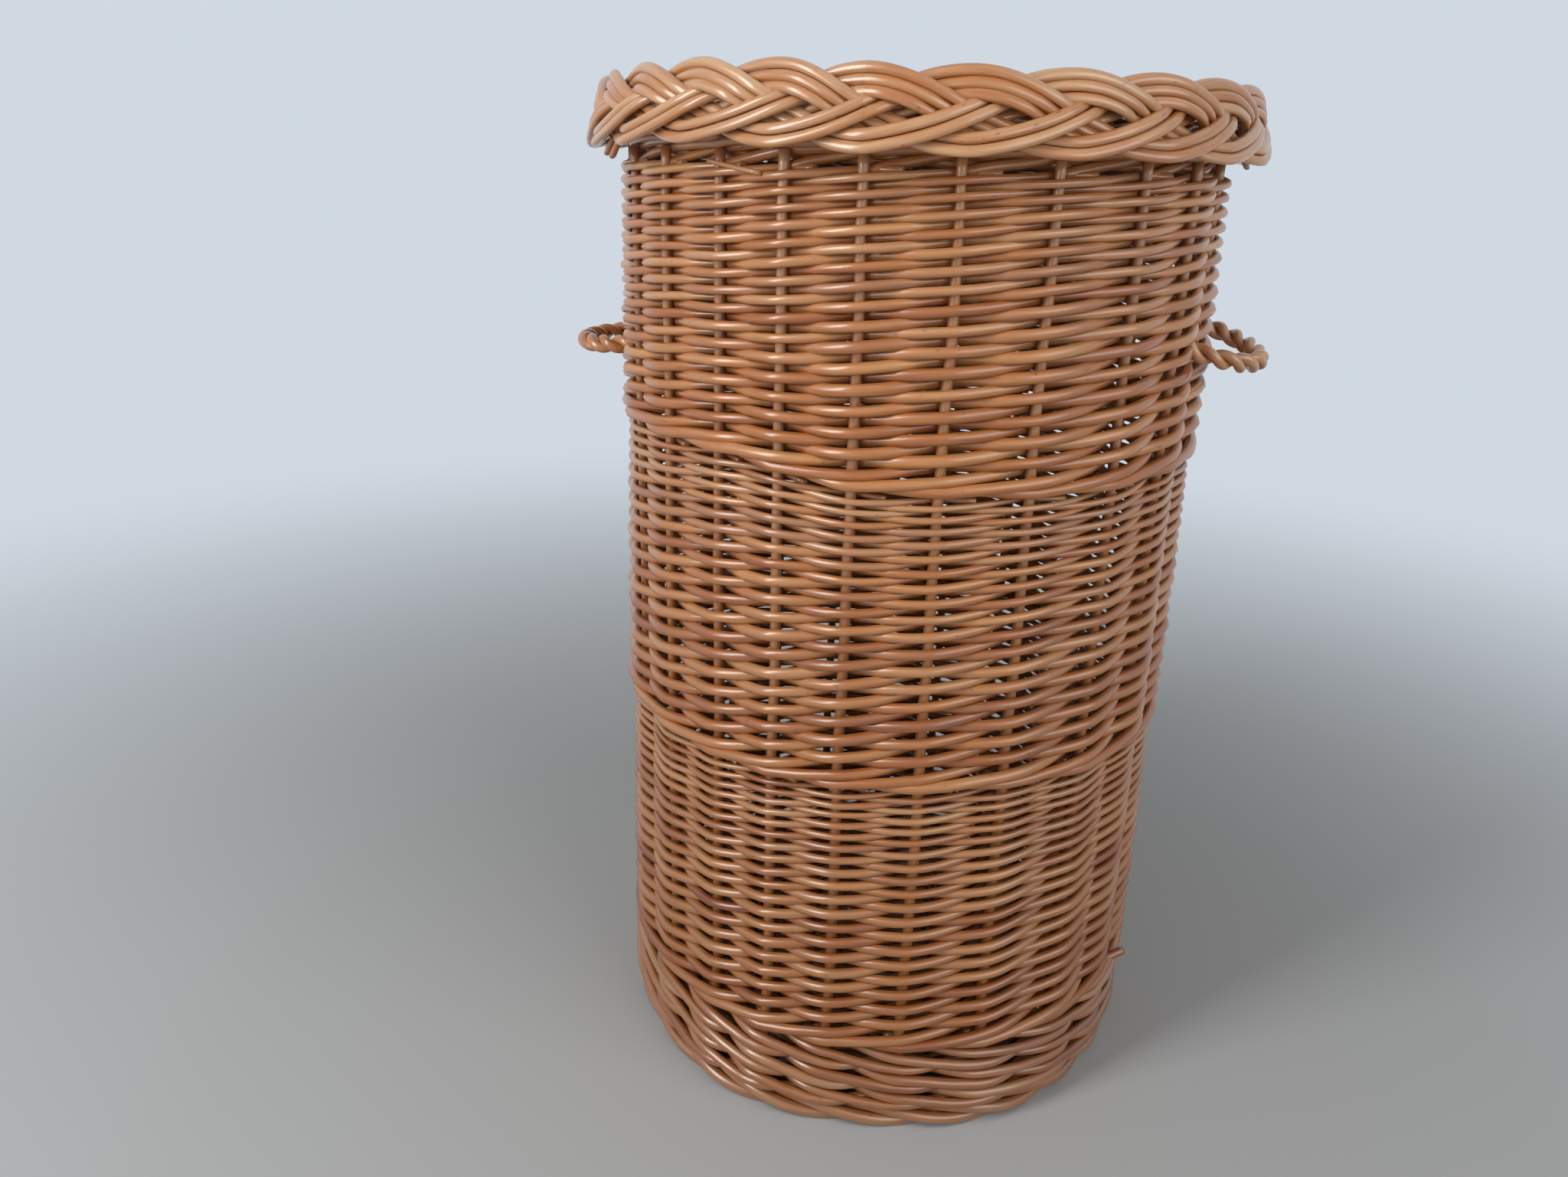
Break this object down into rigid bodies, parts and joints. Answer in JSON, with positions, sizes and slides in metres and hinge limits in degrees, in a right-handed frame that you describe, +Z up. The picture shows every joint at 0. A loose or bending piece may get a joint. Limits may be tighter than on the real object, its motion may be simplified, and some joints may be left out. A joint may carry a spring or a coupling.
{
  "type": "tall round lidded basket",
  "caption": "Tall round basket woven of willow rods, in stepped bands on upright stakes, with a thick roped foot, a rope handle at each side and a lift-off lid with a plaited rim.",
  "frame": {"origin": "on the floor, under the middle of the basket", "axes": "+Z up through the middle of the lid, -X through the middle of the left handle, +X through a stake, with the middle of the right handle half a bay (7.8 degrees) clockwise from it, seen from above"},
  "size_m": [0.4619, 0.4268, 0.6593],
  "materials": {
    "siding_willow": "satin, brown buff willow in thin rods",
    "stake_willow": "satin, brown buff willow stakes and base sticks",
    "border_willow": "semi-gloss, brown buff willow in thick rods"
  },
  "bodies": {
    "basket": {"foot_rope": "border_willow", "foot_wale": "border_willow", "base_pierced_stick_1": "stake_willow", "base_threaded_stick_1": "stake_willow", "base_pierced_stick_2": "stake_willow", "base_threaded_stick_2": "stake_willow", "base_pierced_stick_3": "stake_willow", "base_threaded_stick_3": "stake_willow", "base_pierced_stick_4": "stake_willow", "base_threaded_stick_4": "stake_willow", "base_weave": "siding_willow", "stake_1": "stake_willow", "stake_2": "stake_willow", "stake_3": "stake_willow", "stake_4": "stake_willow", "stake_5": "stake_willow", "stake_6": "stake_willow", "stake_7": "stake_willow", "stake_8": "stake_willow", "stake_9": "stake_willow", "stake_10": "stake_willow", "stake_11": "stake_willow", "stake_12": "stake_willow", "stake_13": "stake_willow", "stake_14": "stake_willow", "stake_15": "stake_willow", "stake_16": "stake_willow", "stake_17": "stake_willow", "stake_18": "stake_willow", "stake_19": "stake_willow", "stake_20": "stake_willow", "stake_21": "stake_willow", "stake_22": "stake_willow", "stake_23": "stake_willow", "siding_lower": "siding_willow", "siding_middle": "siding_willow", "siding_upper": "siding_willow", "rolled_border": "border_willow", "handle_right_rod_1": "border_willow", "handle_right_rod_2": "border_willow", "handle_left_rod_1": "border_willow", "handle_left_rod_2": "border_willow"},
    "lid": {"lid_pierced_stick_1": "stake_willow", "lid_threaded_stick_1": "stake_willow", "lid_pierced_stick_2": "stake_willow", "lid_threaded_stick_2": "stake_willow", "lid_pierced_stick_3": "stake_willow", "lid_threaded_stick_3": "stake_willow", "lid_weave": "siding_willow", "plait_ribbon_1": "border_willow", "plait_ribbon_2": "border_willow", "plait_ribbon_3": "border_willow"}
  },
  "joints": [
    {"name": "lid_lift", "type": "slide", "parent": "basket", "child": "lid", "axis": [0, 0, 1], "range_m": [0, 0.15]}
  ]
}
